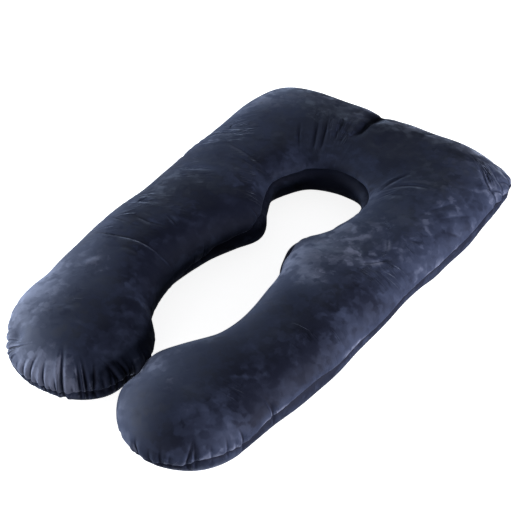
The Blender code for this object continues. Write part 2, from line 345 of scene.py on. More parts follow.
# Each row has the left and right width, the bulge, the line and then the route's points.
CREASES = tuple(new_crease(*row) for row in (
    # runs in from the notch of the head, between its two lobes
    (0.013, 0.005, 0.2, 0.7, (-0.038, 0.695, 0.003), (-0.034, 0.64, 0.009), (-0.036, 0.604, 0.011),
     (-0.028, 0.554, 0.007), (-0.04, 0.5, 0)),
    # an arc across the left leg, with a pale lip on its lower side
    (0.006, 0.009, 0.3, 3.2, (-0.131, -0.152, 0), (-0.152, -0.165, 0.002),
     (-0.186, -0.171, 0.0024), (-0.229, -0.177, 0.0022), (-0.276, -0.193, 0.0016),
     (-0.319, -0.202, 0.001), (-0.35, -0.207, 0)),
    # short crushed folds on the left leg
    (0.006, 0.007, 0.45, 0.8, (-0.272, -0.036, 0), (-0.305, -0.043, 0.004), (-0.34, -0.052, 0)),
    (0.006, 0.007, 0.45, 0.9, (-0.2, -0.09, 0), (-0.232, -0.102, 0.0044), (-0.264, -0.108, 0.004),
     (-0.3, -0.107, 0)),
    (0.006, 0.008, 0.45, 0.8, (-0.18, -0.072, 0), (-0.205, -0.063, 0.0044), (-0.23, -0.056, 0)),
    (0.007, 0.009, 0.45, 0.5, (-0.245, 0.178, 0), (-0.288, 0.16, 0.0036), (-0.332, 0.138, 0)),
    (0.006, 0.007, 0.45, 0.7, (-0.285, -0.136, 0), (-0.315, -0.138, 0.004), (-0.35, -0.134, 0)),
    # a second, softer arc under the first
    (0.007, 0.007, 0.3, 0.3, (-0.275, -0.24, 0), (-0.234, -0.213, 0.0015),
     (-0.192, -0.209, 0.0018), (-0.159, -0.204, 0.0018), (-0.132, -0.19, 0)),
    # short folds over the outer side of the left leg
    (0.005, 0.006, 0.4, 0.5, (-0.278, -0.12, 0), (-0.24, -0.113, 0.0025), (-0.198, -0.1, 0)),
    (0.005, 0.005, 0.4, 0.4, (-0.3, -0.142, 0), (-0.268, -0.136, 0.002), (-0.24, -0.13, 0)),
    (0.005, 0.006, 0.4, 0.5, (-0.375, -0.064, 0.001), (-0.354, -0.056, 0.003),
     (-0.316, -0.039, 0.003), (-0.269, -0.023, 0)),
    (0.005, 0.005, 0.4, 0.4, (-0.38, -0.022, 0.001), (-0.345, -0.012, 0.0025), (-0.305, 0.01, 0)),
    # folds over the left shoulder
    (0.006, 0.006, 0.35, 0.7, (-0.355, 0.332, 0), (-0.29, 0.296, 0.002), (-0.247, 0.296, 0.0025),
     (-0.2, 0.286, 0.002), (-0.158, 0.283, 0)),
    (0.005, 0.005, 0.35, 0.5, (-0.262, 0.256, 0), (-0.21, 0.264, 0.002), (-0.165, 0.258, 0)),
    (0.005, 0.006, 0.45, 0.6, (-0.39, 0.262, 0.002), (-0.35, 0.282, 0.004), (-0.318, 0.302, 0)),
    (0.005, 0.006, 0.45, 0.7, (-0.39, 0.318, 0.002), (-0.345, 0.342, 0.004), (-0.296, 0.356, 0)),
    (0.005, 0.005, 0.45, 0.6, (-0.392, 0.372, 0.002), (-0.355, 0.39, 0.0035), (-0.322, 0.41, 0)),
    # folds from the left lobe of the head towards the neck
    (0.004, 0.005, 0.4, 0.7, (-0.106, 0.602, 0), (-0.094, 0.57, 0.0025), (-0.078, 0.528, 0.003),
     (-0.062, 0.455, 0)),
    (0.004, 0.005, 0.4, 0.7, (-0.142, 0.572, 0), (-0.118, 0.52, 0.0025), (-0.094, 0.47, 0.003),
     (-0.076, 0.418, 0)),
    (0.004, 0.005, 0.35, 0.6, (-0.16, 0.548, 0), (-0.136, 0.5, 0.0022), (-0.11, 0.45, 0.0022),
     (-0.092, 0.405, 0)),
    (0.004, 0.005, 0.4, 0.7, (-0.08, 0.618, 0), (-0.065, 0.56, 0.003), (-0.054, 0.505, 0.002),
     (-0.048, 0.46, 0)),
    (0.004, 0.004, 0.3, 0.6, (-0.19, 0.5, 0), (-0.16, 0.442, 0.002), (-0.12, 0.388, 0)),
    (0.006, 0.006, 0.4, 0.5, (-0.088, 0.67, 0.001), (-0.084, 0.64, 0.0025), (-0.086, 0.612, 0)),
    # folds on the right shoulder, drawn from the neck
    (0.005, 0.007, 0.4, 0.7, (0.14, 0.362, 0), (0.157, 0.418, 0.003), (0.186, 0.476, 0)),
    (0.006, 0.007, 0.4, 0.7, (0.165, 0.392, 0), (0.205, 0.42, 0.003), (0.242, 0.432, 0.0025),
     (0.285, 0.436, 0)),
    (0.008, 0.01, 0.35, 0.5, (0.15, 0.342, 0), (0.19, 0.372, 0.0025), (0.25, 0.38, 0)),
    # folds that run in from the right corner and down the right outer side
    (0.011, 0.009, 0.45, 0.8, (0.312, 0.612, 0), (0.345, 0.584, 0.005), (0.368, 0.565, 0.007),
     (0.404, 0.556, 0.005)),
    (0.009, 0.008, 0.4, 0.7, (0.34, 0.63, 0), (0.366, 0.612, 0.005), (0.404, 0.598, 0.004)),
    (0.008, 0.009, 0.4, 0.7, (0.35, 0.662, 0), (0.382, 0.652, 0.004), (0.402, 0.655, 0.003)),
    (0.006, 0.008, 0.35, 0.8, (0.298, 0.345, 0), (0.323, 0.39, 0.003), (0.348, 0.445, 0)),
    (0.006, 0.008, 0.35, 0.8, (0.338, 0.345, 0), (0.364, 0.39, 0.003), (0.392, 0.442, 0)),
    (0.005, 0.006, 0.35, 0.8, (0.376, 0.334, 0), (0.391, 0.35, 0.003), (0.404, 0.368, 0.001)),
    (0.006, 0.006, 0.35, 0.7, (0.315, 0.232, 0), (0.335, 0.24, 0.0035), (0.352, 0.252, 0)),
    # short folds on the top of the right leg
    (0.006, 0.005, 0.45, 0.6, (0.268, 0.072, 0), (0.296, 0.11, 0.003), (0.322, 0.165, 0)),
    (0.005, 0.005, 0.45, 0.6, (0.27, 0.214, 0), (0.286, 0.186, 0.0025), (0.303, 0.155, 0)),
    (0.005, 0.005, 0.45, 0.6, (0.22, 0.134, 0), (0.24, 0.123, 0.0022), (0.258, 0.112, 0)),
    (0.005, 0.005, 0.45, 0.5, (0.176, 0.206, 0), (0.178, 0.19, 0.002), (0.184, 0.17, 0)),
))

# ---- fine wrinkles, drawn in the surface
# The wrinkles of a place run at an angle in degrees, or towards the neck when it is None.
WrinkledPlace = namedtuple("WrinkledPlace", "x y z reach depth angle")
NECK_MIDDLE = (0.0, 0.320)
NECK_RADIUS = 0.220
WRINKLED_PLACES = table(
    WrinkledPlace,
    (-0.33, -0.07, 0.155, 0.1, 0.0028, 36),
    (-0.35, 0.13, 0.15, 0.11, 0.0011, 36),
    (-0.345, 0.345, 0.145, 0.09, 0.002, 36),
    (-0.21, 0.28, 0.155, 0.07, 0.0012, 36),
    (-0.125, 0.19, 0.145, 0.06, 0.0016, 36),
    (-0.29, -0.43, 0.155, 0.1, 0.0009, 36),
    (-0.095, 0.5, 0.155, 0.09, 0.0016, None),
    (0.18, 0.425, 0.15, 0.07, 0.0016, 55),
    (0.26, 0.14, 0.155, 0.08, 0.0014, 60),
    (0.37, 0.15, 0.115, 0.11, 0.0018, 0),
    (0.365, -0.2, 0.115, 0.12, 0.0014, 0),
    (0.375, 0.6, 0.12, 0.08, 0.0022, -27),
    (0.3, -0.48, 0.13, 0.08, 0.0013, 10),
)
WRINKLES_PER_METRE = (9.0, 34.0)
WRINKLE_WIDTH = 0.14
# They come and go over the place, in spots about 1 / WRINKLED_SPOTS metres across.
WRINKLED_SPOTS = 10.0
WRINKLED_LIMITS = (0.40, 0.62)

# ---- patches of painted light and shade, and short light strokes
# A tone above 0 lightens the colour, below 0 darkens it.
# The lower panel is a little darker all over. Under the seam, where the upper panel hangs over it,
# it gets painted shade, and the upper panel's edge just above the seam gets a painted highlight.
LOWER_PANEL_TONE = -0.10
UNDER_SEAM_PAINTED_SHADE = -0.55
UNDER_SEAM_SHADE_REACH = 0.018
EDGE_HIGHLIGHT_REACH = 0.016
# Patches of painted light and shade: lighter on sides that face the lamps, darker on tops, on
# sides turned from the light, in the neck and along the head's back edge.
Patch = namedtuple("Patch", "x y z reach tone")
PAINTED_LIGHT_AND_SHADE_PATCHES = table(
    Patch,
    # left leg and foot
    (-0.33, -0.45, 0.125, 0.12, 0.55),
    (-0.26, -0.27, 0.17, 0.06, 0.2),
    (-0.08, -0.42, 0.16, 0.13, -0.45),
    (-0.16, -0.16, 0.155, 0.11, -0.7),
    (-0.115, -0.08, 0.14, 0.08, -0.35),
    (-0.13, -0.25, 0.15, 0.07, -0.2),
    (-0.175, -0.64, 0.09, 0.095, 0.6),
    (-0.2, -0.44, 0.165, 0.06, -0.15),
    (-0.38, 0.04, 0.125, 0.11, -0.4),
    (-0.385, 0.21, 0.12, 0.09, -0.3),
    (-0.21, 0.06, 0.165, 0.09, -0.35),
    (-0.12, 0.07, 0.145, 0.08, -0.65),
    (-0.075, 0.08, 0.11, 0.06, -0.25),
    (-0.095, 0.17, 0.135, 0.055, -0.65),
    (-0.246, 0.12, 0.165, 0.05, -0.2),
    (-0.282, -0.03, 0.172, 0.04, -0.25),
    (-0.298, -0.111, 0.171, 0.035, -0.25),
    # painted light on the walls below the seam inside the left leg
    (-0.125, -0.06, 0.055, 0.05, 0.85),
    (-0.133, -0.15, 0.045, 0.055, 0.75),
    (-0.125, -0.235, 0.045, 0.045, 0.4),
    (-0.088, 0.065, 0.05, 0.045, 0.35),
    # head, mostly painted shade, deepest in the neck
    (-0.16, 0.56, 0.16, 0.13, -0.55),
    (-0.18, 0.33, 0.155, 0.1, -0.3),
    (-0.02, 0.4, 0.04, 0.07, -0.9),
    (0.06, 0.56, 0.16, 0.12, -0.55),
    (0.012, 0.655, 0.145, 0.055, -0.7),
    (0.12, 0.69, 0.115, 0.085, -0.65),
    (0.25, 0.69, 0.115, 0.08, -0.55),
    (0.22, 0.52, 0.16, 0.11, -0.35),
    (0.37, 0.6, 0.12, 0.07, 0.22),
    (-0.25, 0.61, 0.15, 0.07, 0.3),
    (-0.335, 0.55, 0.145, 0.09, 0.45),
    # right leg and foot
    (0.15, 0.06, 0.15, 0.09, 0.36),
    (0.2, 0.17, 0.15, 0.08, 0.3),
    (0.12, -0.06, 0.14, 0.08, 0.3),
    (0.215, -0.056, 0.17, 0.045, 0.5),
    (-0.08, -0.61, 0.09, 0.06, 0.45),
    (0.12, -0.64, 0.08, 0.06, 0.35),
    (0.395, 0.42, 0.11, 0.08, 0.05),
    (0.372, 0.235, 0.125, 0.07, 0.1),
    (0.385, 0.3, 0.12, 0.06, -0.1),
    (0.335, -0.02, 0.15, 0.07, -0.4),
    (0.345, -0.04, 0.136, 0.05, -0.15),
    (0.335, -0.18, 0.138, 0.06, -0.25),
    (0.335, -0.32, 0.135, 0.06, -0.2),
    (0.325, -0.43, 0.132, 0.05, -0.15),
    (0.31, -0.23, 0.15, 0.09, -0.45),
    (0.29, -0.41, 0.15, 0.09, -0.55),
    (0.24, -0.13, 0.17, 0.07, -0.4),
    (0.18, -0.32, 0.165, 0.09, -0.1),
    (0.06, -0.48, 0.12, 0.09, 0.3),
    (0.23, -0.61, 0.13, 0.08, -0.25),
)
# Short light strokes on the upper panel: brushed pile, and painted highlights along small folds.
# A stroke runs from its first place to its second, bowed to its left by so much.
Stroke = namedtuple("Stroke", "x1 y1 x2 y2 bow width tone")
STROKES = table(
    Stroke,
    (-0.365, -0.064, -0.325, -0.048, 0.002, 0.005, 0.45),
    (-0.348, -0.168, -0.322, -0.152, 0, 0.008, 0.35),
    (-0.264, -0.111, -0.204, -0.094, 0.004, 0.005, 0.45),
    (-0.224, -0.061, -0.186, -0.07, 0.003, 0.008, 0.35),
    (-0.33, 0.14, -0.245, 0.178, 0.006, 0.01, 0.35),
    (-0.365, 0.278, -0.31, 0.312, 0.002, 0.005, 0.4),
    (0.181, 0.181, 0.174, 0.208, 0, 0.006, 0.35),
    (0.186, 0.142, 0.2, 0.15, 0.002, 0.004, 0.4),
    (0.225, 0.131, 0.253, 0.115, 0.003, 0.007, 0.45),
    (0.273, 0.208, 0.3, 0.159, 0.003, 0.008, 0.4),
    (0.276, 0.082, 0.314, 0.148, -0.006, 0.007, 0.45),
    (0.218, 0.236, 0.285, 0.232, 0.016, 0.004, 0.4),
    (0.153, 0.126, 0.135, 0.095, 0, 0.005, 0.4),
    (0.288, -0.028, 0.307, -0.056, 0.004, 0.009, 0.35),
    (0.238, -0.44, 0.298, -0.392, 0.006, 0.005, 0.4),
    (-0.232, -0.463, -0.188, -0.446, -0.01, 0.006, 0.4),
    (-0.165, -0.497, -0.137, -0.49, 0.006, 0.005, 0.4),
    (-0.23, -0.068, -0.188, -0.058, 0.006, 0.006, 0.35),
    (-0.33, -0.04, -0.262, -0.024, 0.004, 0.006, 0.35),
    (-0.285, -0.33, -0.255, -0.28, 0.006, 0.01, 0.35),
    (-0.23, -0.34, -0.215, -0.3, 0.003, 0.006, 0.3),
)
# At its ends a stroke has this share of its tone.
STROKE_END = 0.3

# ---- lumps of the filling
LUMP_SEED = 5
LUMP_WAVES = 24
LUMP_LENGTH = (0.12, 0.40)
LUMP_HEIGHT = 0.00035
LUMP_SPREAD = (1, 1, 0.7)

# ---- navy plush
# The pile's tone, with the painted light and shade added to it, runs from dark below 0 to light
# above 0.
NAVY_DEEP = (0.0040, 0.0056, 0.0150, 1.0)
NAVY_MIDDLE = (0.0185, 0.0245, 0.0490, 1.0)
NAVY_PALE = (0.1190, 0.1340, 0.2000, 1.0)
# Between the first limits of this tone the deep colour turns into the middle one, and
# between the second limits the middle one turns into the pale one.
MIDDLE_NAP = (-0.50, 0.50)
PALE_NAP = (0.25, 1.05)
NAP_LEVEL = 0.265
BROAD_SCALE = 7.0
BROAD_LIMITS = (0.34, 0.70)
BROAD_TONE = 0.12
# Each size of brushed patch: how many to a metre, how much it lightens or darkens the
# nap, and how far it leans the pile, as the slope of the surface.
Mottle = namedtuple("Mottle", "scale tone lean")
MOTTLES = (Mottle(11.0, 0.24, 0.10), Mottle(27.0, 0.34, 0.18), Mottle(62.0, 0.32, 0.17))
# A patch's edge is crumpled: so many crumples to a patch, so many patches deep.
CRUMPLE_SCALE = 0.9
CRUMPLE_REACH = 1.6
# The line of a crease, gather or seam is sunk and gets painted shade, with a raised lip
# beside it that gets a painted highlight.
# The seam's line lies just below the stitches, under the upper panel's overhanging edge, and gets
# painted shade there.
SEAM_LINE_DEPTH = 0.0026
SEAM_LINE_PLACE = -0.002
LINE_WIDTH = 0.0030
LINE_SHADE = 150.0
LINE_RELIEF = 0.12
LIP_OFFSET = 1.7
LIP_SHARE = 0.9
LIP_PAINTED_HIGHLIGHT = 0.45
PILE_SCALE = 600.0
PILE_HEIGHT = 0.0005
PILE_STRENGTH = 0.2
PLUSH = {
    "Roughness": 0.75, "Specular IOR Level": 0.10, "Sheen Weight": 0.24,
    "Sheen Roughness": 0.32, "Sheen Tint": (0.62, 0.72, 1.00, 1.0),
}

# ---- floor, light, camera
FLOOR_SIZE = 40.0
FLOOR_GAP = 0.0003
FLOOR_PAINT = {
    "Base Color": (0.90, 0.90, 0.90, 1.0), "Roughness": 0.9,
    "Emission Color": (1.0, 1.0, 1.0, 1.0), "Emission Strength": 0.88,
}
Lamp = namedtuple("Lamp", "name place aim size power colour")
LAMPS = (
    Lamp("window", (-3.2, -1.1, 0.62), (0.0, 0.0, 0.05), (2.4, 1.0), 345.0, (0.9, 0.965, 1.0)),
    Lamp("right_side", (2.75, 0.25, 0.46), (0.3, 0.05, 0.05), (1.8, 0.7), 200.0, (1, 0.98, 0.99)),
    Lamp("front", (0.0, -3.2, 0.36), (-0.1, -0.6, 0.05), (1.2, 0.5), 50.0, (1, 0.98, 0.98)),
)
SKY_LIGHT = (0.14, 0.145, 0.155, 1.0)
UNDER_LIGHT = (0.06, 0.06, 0.06, 1.0)
SKY_EDGE = (-0.25, 0.15)
CAMERA_AZIMUTH = 36.0
CAMERA_ELEVATION = 40.5
CAMERA_DISTANCE = 3.83
CAMERA_TARGET = (-0.0054, 0.0019, 0.08)
CAMERA_ROLL = -0.6
LENS = 104.8
SENSOR = 36.0

# ---- the mesh's fineness
LEG_STEPS = {"left": 140, "right": 143}
HEAD_STEPS = 200
FOOT_STEPS = 175
UPPER_STEPS = 48
LOWER_STEPS = 24
# Points crowd together near the seam, and sections near the head's corners.
SEAM_CROWDING = 1.45
CORNER_CROWDING = 0.08
LEVELS = UPPER_STEPS + LOWER_STEPS
SAME_POINT = 0.00001
TOP_ANGLE = math.pi / 2


# ---- plain form
def smooth_value(rows, column, y):
    """The column's value at y, on a smooth curve through the rows."""
    last = len(rows) - 1
    i = max(k for k in range(last) if k == 0 or rows[k].y <= y)

    def slope(k):
        if k == last:
            return 0.0
        low, high = rows[max(k - 1, 0)], rows[k + 1]
        return (getattr(high, column) - getattr(low, column)) / (high.y - low.y)

    start, end = getattr(rows[i], column), getattr(rows[i + 1], column)
    span = rows[i + 1].y - rows[i].y
    t = (y - rows[i].y) / span
    return (
        (2 * t**3 - 3 * t**2 + 1) * start
        + (t**3 - 2 * t**2 + t) * span * slope(i)
        + (3 * t**2 - 2 * t**3) * end
        + (t**3 - t**2) * span * slope(i + 1)
    )


def round_reach(across, along, half_width, depth, roundness):
    """How far a rounded rectangle reaches in the direction (across, along)."""
    total = (abs(across) / half_width) ** roundness + (along / depth) ** roundness
    return total ** (-1 / roundness)


def foot_reach(side, way, half_width):
    """How far a foot's seam is from the foot's centre, in the direction way."""
    outer_side, inner_side = FOOT_ROUNDNESS[side]
    roundness = outer_side if way.x * SIDE_SIGN[side] > 0 else inner_side
    return round_reach(way.x, max(0.0, -way.y), half_width, FOOT_TIP[side], roundness)


def section_point(middle, reach, crown, angle):
    """A point of a section's curve: the angle is 90 degrees at the crown, 0 at the widest
    place and -90 degrees on the floor."""
    turn = min(abs(angle), TOP_ANGLE)
    share = abs(math.cos(turn)) ** (2 / SIDE_ROUNDNESS) if turn < TOP_ANGLE else 0.0
    if angle > 0:
        height = WIDEST_HEIGHT + (crown - WIDEST_HEIGHT) * math.sin(turn) ** (2 / CROWN_ROUNDNESS)
    else:
        drop = (WIDEST_HEIGHT + FLOOR_PRESS) * math.sin(turn) ** (2 / SIDE_ROUNDNESS)
        height = max(0.0, WIDEST_HEIGHT - drop)
    return Vector((*(middle + reach * share), height))


def seam_values(edge):
    """The seam's (height, pull, tone) at an edge, from the marks around it; the tone is the
    painted highlight just above the seam.
    """
    weights = [
        ((edge.x - mark.x) ** 2 + (edge.y - mark.y) ** 2 + SEAM_MARK_REACH**2) ** -2
        for mark in SEAM_MARKS
    ]
    total = sum(weights)
    return [
        sum(weight * getattr(mark, name) for weight, mark in zip(weights, SEAM_MARKS)) / total
        for name in ("height", "pull", "tone")
    ]


def seam_angle(edge, crown):
    """The angle of a section's curve at which its seam runs."""
    rise = seam_values(edge)[0] - WIDEST_HEIGHT
    if rise > 0:
        return math.asin((rise / (crown - WIDEST_HEIGHT)) ** (CROWN_ROUNDNESS / 2))
    return -math.asin((-rise / (WIDEST_HEIGHT + FLOOR_PRESS)) ** (SIDE_ROUNDNESS / 2))


def half_section(middle, edge, crown):
    """Points of half a section, from the crown over one seam to the floor."""
    seam, reach = seam_angle(edge, crown), edge - middle
    upper = [(k / UPPER_STEPS) ** SEAM_CROWDING for k in range(UPPER_STEPS, -1, -1)]
    lower = [(k / LOWER_STEPS) ** SEAM_CROWDING for k in range(1, LOWER_STEPS + 1)]
    angles = [seam + (TOP_ANGLE - seam) * share for share in upper]
    angles += [seam - (TOP_ANGLE + seam) * share for share in lower]
    return [section_point(middle, reach, crown, angle) for angle in angles]


def leg_sections(side):
    """(inner seam, outer seam, crown) from the foot's centre up to the head."""
    rows, sign, count = LEGS[side], SIDE_SIGN[side], LEG_STEPS[side]
    return [
        (
            Vector((sign * smooth_value(rows, "inner", y), y)),
            Vector((sign * smooth_value(rows, "outer", y), y)),
            smooth_value(rows, "crown", y),
        )
        for y in (rows[0].y + (rows[-1].y - rows[0].y) * k / count for k in range(count + 1))
    ]


def head_sections():
    """(inner seam, outer seam, crown), fanned round the neck from the right leg to the left."""
    start = Vector((0.0, HEAD_START))
    sections = []
    for k in range(1, HEAD_STEPS):
        share = k / HEAD_STEPS
        turn = math.pi * share + CORNER_CROWDING * math.pi * math.sin(4 * math.pi * share)
        across, along = math.cos(turn), math.sin(turn)
        side = "right" if across > 0 else "left"
        leg = LEGS[side][-1]
        widened = min(1.0, along / math.sin(math.radians(HEAD_WIDENS_BY)))
        half_width = leg.outer + (HEAD_HALF_WIDTH[side] - leg.outer) * widened
        outer = round_reach(across, along, half_width, HEAD_DEPTH[side], CORNER_SQUARENESS[side])
        inner = round_reach(across, along, leg.inner, NECK_DEPTH, NECK_SQUARENESS[side])
        way = Vector((across, along))
        sections.append((start + way * inner, start + way * outer, HEAD_CROWN))
    return sections


def foot_sections(side, section):
    """Half sections round a foot, from its outer side past the tip to its inner side."""
    inner, outer, crown = section
    middle, half_width = (inner + outer) / 2, (outer - inner).length / 2
    rows = []
    for k in range(1, FOOT_STEPS):
        turn = math.pi * k / FOOT_STEPS
        way = Vector((SIDE_SIGN[side] * math.cos(turn), -math.sin(turn)))
        rows.append((middle, middle + way * foot_reach(side, way, half_width), crown))
    return rows


def seam_rows(rings):
    """Half sections in the order of the seam: up the right outer side, round the head,
    down the left, round the left foot, up the inner edges and round the right foot."""
    outer = [((inner + outer) / 2, outer, crown) for inner, outer, crown in rings]
    inner = [((inner + outer) / 2, inner, crown) for inner, outer, crown in rings]
    left_foot = foot_sections("left", rings[-1])
    right_foot = foot_sections("right", rings[0])
    return outer + left_foot + inner[::-1] + right_foot[::-1]


def add_points(mesh, points, row, levels):
    """New points that carry the number of their half section and their level on it."""
    row_layer, level_layer = mesh.verts.layers.int["row"], mesh.verts.layers.int["level"]
    verts = []
    for point, level in zip(points, levels):
        vert = mesh.verts.new(point)
        vert[row_layer], vert[level_layer] = row, level
        verts.append(vert)
    return verts


def add_foot(mesh, side, ring, ring_row, row_step):
    """Half a section spun round the foot's centre, then drawn to the foot's outline."""
    row_layer, level_layer = mesh.verts.layers.int["row"], mesh.verts.layers.int["level"]
    inner, outer, crown = ring
    middle, sign = (inner + outer) / 2, SIDE_SIGN[side]
    verts = add_points(mesh, half_section(middle, outer, crown), ring_row, range(LEVELS + 1))
    edges = [mesh.edges.new(pair) for pair in zip(verts, verts[1:])]
    known = set(mesh.verts)
    bmesh.ops.spin(
        mesh, geom=verts + edges, cent=(*middle, 0.0), axis=(0.0, 0.0, -sign),
        angle=math.pi, steps=FOOT_STEPS,
    )
    outline = [half_section(*section) for section in foot_sections(side, ring)]
    for vert in set(mesh.verts) - known:
        away = vert.co.xy - middle
        step = round(math.atan2(-away.y, sign * away.x) * FOOT_STEPS / math.pi)
        if away.length > SAME_POINT and 0 < step < FOOT_STEPS:
            vert.co = outline[step - 1][vert[level_layer]]
            vert[row_layer] = ring_row + row_step * step


def pillow_mesh(rings):
    """The closed skin, from the two feet and the rings that run from one to the other."""
    mesh = bmesh.new()
    mesh.verts.layers.int.new("row")
    mesh.verts.layers.int.new("level")
    last = len(rings) - 1
    add_foot(mesh, "left", rings[last], last, 1)
    add_foot(mesh, "right", rings[0], 2 * (last + FOOT_STEPS), -1)
    edges = []
    for number, (inner, outer, crown) in enumerate(rings):
        middle = (inner + outer) / 2
        inner_row = last + FOOT_STEPS + last - number
        verts = add_points(mesh, half_section(middle, outer, crown), number, range(LEVELS + 1))
        back = half_section(middle, inner, crown)[-2:0:-1]
        verts += add_points(mesh, back, inner_row, range(LEVELS - 1, 0, -1))
        edges += [mesh.edges.new(pair) for pair in zip(verts, verts[1:] + verts[:1])]
    bmesh.ops.bridge_loops(mesh, edges=edges)
    bmesh.ops.remove_doubles(mesh, verts=mesh.verts, dist=SAME_POINT)
    bmesh.ops.recalc_face_normals(mesh, faces=mesh.faces)
    return mesh


# ---- measures along the cloth
Cloth = namedtuple("Cloth", "loop seam_along seam_points along away narrowing pull tone")


def measure_cloth(rings, rows, levels):
    """Where each point is on the cloth: along the seam, and above or below it."""
    seam = seam_rows(rings)
    grid = np.array([[tuple(point) for point in half_section(*row)] for row in seam])
    pull, tone = np.array([seam_values(edge)[1:] for middle, edge, crown in seam]).T
    to_next = np.linalg.norm(np.roll(grid, -1, axis=0) - grid, axis=2)
    seam_steps = to_next[:, UPPER_STEPS]
    along = np.concatenate(([0.0], np.cumsum(seam_steps)[:-1]))
    down = np.cumsum(np.linalg.norm(np.diff(grid, axis=1), axis=2), axis=1)
    down = np.hstack((np.zeros((len(grid), 1)), down))
    away = down[:, UPPER_STEPS][:, None] - down
    spacing = (to_next + np.roll(to_next, 1, axis=0)) / 2
    narrowing = spacing / spacing[:, UPPER_STEPS][:, None]
    rows = rows % len(grid)
    return Cloth(
        seam_steps.sum(), along, grid[:, UPPER_STEPS], along[rows], away[rows, levels],
        narrowing[rows, levels], pull[rows], tone[rows],
    )


def falloff(gap, width=1.0):
    """1 where the gap is 0, and almost 0 from two widths away."""
    return np.exp(-((gap / width) ** 2))


def nearness(places, spot):
    """1 at a spot, and almost 0 from two of its reaches away."""
    return falloff(np.linalg.norm(places - (spot.x, spot.y, spot.z), axis=1), spot.reach)


def fold_profile(across, ridge):
    """A valley with a low ridge on either side, for a distance across it in widths."""
    ridges = falloff(across - RIDGE_PLACE) + falloff(across + RIDGE_PLACE)
    return ridge * ridges - falloff(across)


def fold_values(cloth, place, fold):
    """Which points a fold touches, how far across it they are and how strong it is there."""
    up = np.abs(cloth.away)
    reach = np.where(cloth.away > 0, fold.reach, fold.reach * LOWER_PANEL_SHARE)
    from_fold = (cloth.along - place + cloth.loop / 2) % cloth.loop - cloth.loop / 2
    extent = FOLD_EXTENT * fold.width + abs(fold.lean) * fold.reach
    near = (up < reach) & (np.abs(from_fold) < extent)
    across = (from_fold * cloth.narrowing - fold.lean * up)[near]
    gone = (up / reach)[near]
    free = 1 - SEAM_HOLD * np.exp(-up[near] / STITCH_RISE)
    return near, across, (1 - gone) ** 2 * (1 + 2 * gone) * free


def fold_lift(cloth, place, fold):
    """How far one fold lifts or sinks each point of the cloth."""
    near, across, strength = fold_values(cloth, place, fold)
    lift = np.zeros(len(cloth.along))
    lift[near] = fold.depth * fold_profile(across / fold.width, RIDGE_SHARE) * strength
    return lift


def foot_place(cloth, side, turn, ring_count):
    """How far along the seam a turn round a foot is."""
    steps = turn / 180 * FOOT_STEPS
    if side == "left":
        row = ring_count - 1 + steps
    else:
        row = 2 * (ring_count - 1 + FOOT_STEPS) - steps
    return np.interp(row, np.arange(len(cloth.seam_along)), cloth.seam_along)


def seam_place(cloth, x, y):
    """How far along the seam its nearest point to (x, y) is."""
    gaps = np.hypot(cloth.seam_points[:, 0] - x, cloth.seam_points[:, 1] - y)
    return cloth.seam_along[np.argmin(gaps)]


def placed_gathers(cloth, ring_count):
    """Every gather with its place along the seam."""
    pairs = [
        (foot_place(cloth, side, gather.turn, ring_count), gather)
        for side, gathers in GATHERS.items() for gather in gathers
    ]
    return pairs + [(seam_place(cloth, gather.x, gather.y), gather) for gather in SEAM_GATHERS]


def gather_lines(cloth, pairs):
    """Each point's gap from the nearest gather's line, and the depth of that line."""
    line_gap = np.full(len(cloth.along), CREASE_MARGIN)
    line_depth = np.zeros(len(cloth.along))
    for place, gather in pairs:
        near, across, strength = fold_values(cloth, place, gather)
        depth = GATHER_LINE * gather.depth * strength * falloff(across, GATHER_LINE_REACH)
        closer = np.abs(across) < np.abs(line_gap[near])
        points = np.flatnonzero(near)[closer]
        line_gap[points], line_depth[points] = -across[closer], depth[closer]
    return line_gap, line_depth


def puckers_lift(cloth):
    """The lift of small uneven puckers all along the seam."""
    draw = random.Random(PUCKER_SEED)
    lift = np.zeros(len(cloth.along))
    place = draw.uniform(*PUCKER_SPACING)
    while place < cloth.loop:
        pucker = Gather(
            0, draw.uniform(*PUCKER_REACH), draw.uniform(*PUCKER_DEPTH),
            draw.uniform(*PUCKER_WIDTH), draw.uniform(*PUCKER_LEAN),
        )
        lift += fold_lift(cloth, place, pucker)
        place += draw.uniform(*PUCKER_SPACING)
    return lift


def smooth_route(points):
    """The points of a route with its corners cut."""
    for _ in range(ROUTE_CUTS):
        near = points[:-1] * (1 - CORNER_CUT) + points[1:] * CORNER_CUT
        far = points[:-1] * CORNER_CUT + points[1:] * (1 - CORNER_CUT)
        cut = np.stack((near, far), axis=1).reshape(-1, 3)
        points = np.vstack((points[:1], cut, points[-1:]))
    return points


def beside_line(places, start, end):
    """How far along a straight line the nearest point to each place is, as a share of its
    length, and the step from that point to the place."""
    step = end - start
    offset = places[:, :2] - start
    share = np.clip(offset @ step / (step @ step), 0.0, 1.0)
    return share, offset - share[:, None] * step


def crease_gaps(places, crease):
    """Each point's signed gap from a crease's route, and the crease's depth beside it."""
    gaps = np.full(len(places), np.inf)
    depths = np.zeros(len(places))
    points = smooth_route(crease.route)
    low = points[:, :2].min(axis=0) - CREASE_MARGIN
    high = points[:, :2].max(axis=0) + CREASE_MARGIN
    close = np.flatnonzero(np.all((places[:, :2] > low) & (places[:, :2] < high), axis=1))
    for start, end in zip(points, points[1:]):
        step = end - start
        share, away = beside_line(places[close], start[:2], end[:2])
        gap = np.linalg.norm(away, axis=1)
        nearer = gap < np.abs(gaps[close])
        offset = places[close, :2] - start[:2]
        side = np.sign(step[0] * offset[:, 1] - step[1] * offset[:, 0])
        gaps[close[nearer]] = (side * gap)[nearer]
        depths[close[nearer]] = (start[2] + step[2] * share)[nearer]
    return gaps, depths


